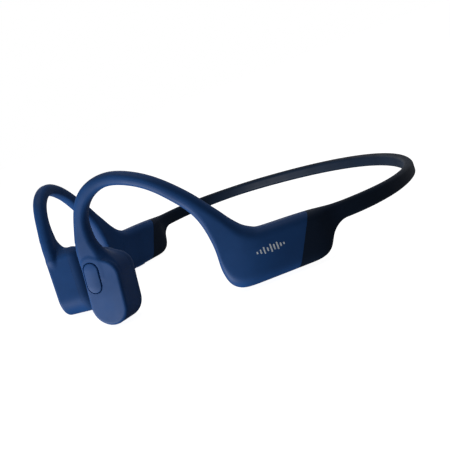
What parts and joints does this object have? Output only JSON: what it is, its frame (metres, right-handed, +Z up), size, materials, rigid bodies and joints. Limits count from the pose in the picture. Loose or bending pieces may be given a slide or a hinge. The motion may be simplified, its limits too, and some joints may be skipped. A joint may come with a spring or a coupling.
{
  "type": "bone conduction headphones",
  "caption": "Open-ear bone conduction headphones: slim neckband behind the head, hooks over the ears, and pods that press vibrating pads on the cheekbones.",
  "frame": {"origin": "on the standing surface, under the middle of the bounding box", "axes": "+Z up with the neckband level, the wearer faces -Y, the wearer's left is +X"},
  "size_m": [0.1358, 0.1186, 0.0443],
  "materials": {
    "band_rubber": "soft matte silicone with a faint moulded grain",
    "boot_rubber": "soft matte silicone",
    "hook_rubber": "soft matte blue silicone",
    "case_plastic": "soft-touch blue coating over plastic",
    "pad_rubber": "soft matte blue silicone",
    "button_plastic": "soft-touch blue coating",
    "seal_rubber": "black sealing foam",
    "spring_wire": "drawn titanium wire",
    "cable_jacket": "black cable jacket",
    "yoke_steel": "stamped steel",
    "magnet_nickel": "nickel-plated magnet",
    "coil_copper": "enamelled copper winding",
    "carrier_plastic": "black moulded plastic",
    "spring_steel": "thin spring steel",
    "battery_foil": "aluminium laminate pouch",
    "circuit_board": "green solder mask",
    "chip_resin": "black moulded packages and plated shield",
    "port_plastic": "black moulded plastic",
    "gold_contact": "gold-plated contact",
    "lens_plastic": "clear light pipe"
  },
  "bodies": {
    "right_half": {"board_chips": "chip_resin", "charge_contacts": "gold_contact", "charging_port": "port_plastic", "coil_carrier_right": "carrier_plastic", "contact_pad_right": "pad_rubber", "control_pod_case": "case_plastic", "control_pod_cover": "case_plastic", "ear_hook_right": "hook_rubber", "hook_leads_right": "cable_jacket", "hook_wire_right": "spring_wire", "main_board": "circuit_board", "microphone": "yoke_steel", "neckband_cable_right": "cable_jacket", "neckband_sleeve_right": "band_rubber", "neckband_wire_right": "spring_wire", "pad_seal_right": "seal_rubber", "rear_boot_right": "boot_rubber", "status_led_lens": "lens_plastic", "suspension_spring_right": "spring_steel", "transducer_case_right": "case_plastic", "voice_coil_right": "coil_copper", "volume_switches": "chip_resin"},
    "left_half": {"battery_cell": "battery_foil", "battery_pod_case": "case_plastic", "battery_pod_cover": "case_plastic", "button_board": "circuit_board", "coil_carrier_left": "carrier_plastic", "contact_pad_left": "pad_rubber", "dome_switch": "spring_steel", "ear_hook_left": "hook_rubber", "hook_leads_left": "cable_jacket", "hook_wire_left": "spring_wire", "neckband_cable_left": "cable_jacket", "neckband_sleeve_left": "band_rubber", "neckband_wire_left": "spring_wire", "pad_seal_left": "seal_rubber", "protection_board": "circuit_board", "rear_boot_left": "boot_rubber", "suspension_spring_left": "spring_steel", "transducer_case_left": "case_plastic", "voice_coil_left": "coil_copper"},
    "magnet_left": {"transducer_yoke_left": "yoke_steel", "transducer_magnet_left": "magnet_nickel", "pole_plate_left": "yoke_steel"},
    "magnet_right": {"transducer_yoke_right": "yoke_steel", "transducer_magnet_right": "magnet_nickel", "pole_plate_right": "yoke_steel"},
    "multifunction_button": {"multifunction_button": "button_plastic"},
    "volume_up_button": {"volume_up_button": "button_plastic"},
    "volume_down_button": {"volume_down_button": "button_plastic"}
  },
  "joints": [
    {"name": "band_flex", "type": "hinge", "parent": "right_half", "child": "left_half", "pos_m": [0, 0.05932, 0.0118], "axis": [0, 0, 1], "range_deg": [0, 20], "stiffness_Nm_per_rad": 0.4},
    {"name": "multifunction_press", "type": "slide", "parent": "left_half", "child": "multifunction_button", "axis": [-0.632, 0.7749, 0], "range_m": [0, 0.00035], "stiffness_N_per_m": 1500},
    {"name": "volume_up_press", "type": "slide", "parent": "right_half", "child": "volume_up_button", "axis": [0, 0, 1], "range_m": [0, 0.0003], "stiffness_N_per_m": 3000},
    {"name": "volume_down_press", "type": "slide", "parent": "right_half", "child": "volume_down_button", "axis": [0, 0, 1], "range_m": [0, 0.0003], "stiffness_N_per_m": 3000},
    {"name": "magnet_left_vibration", "type": "slide", "parent": "left_half", "child": "magnet_left", "axis": [0.632, -0.7749, 0], "range_m": [-0.00015, 0.00015], "stiffness_N_per_m": 200},
    {"name": "magnet_right_vibration", "type": "slide", "parent": "right_half", "child": "magnet_right", "axis": [-0.632, -0.7749, 0], "range_m": [-0.00015, 0.00015], "stiffness_N_per_m": 200}
  ]
}
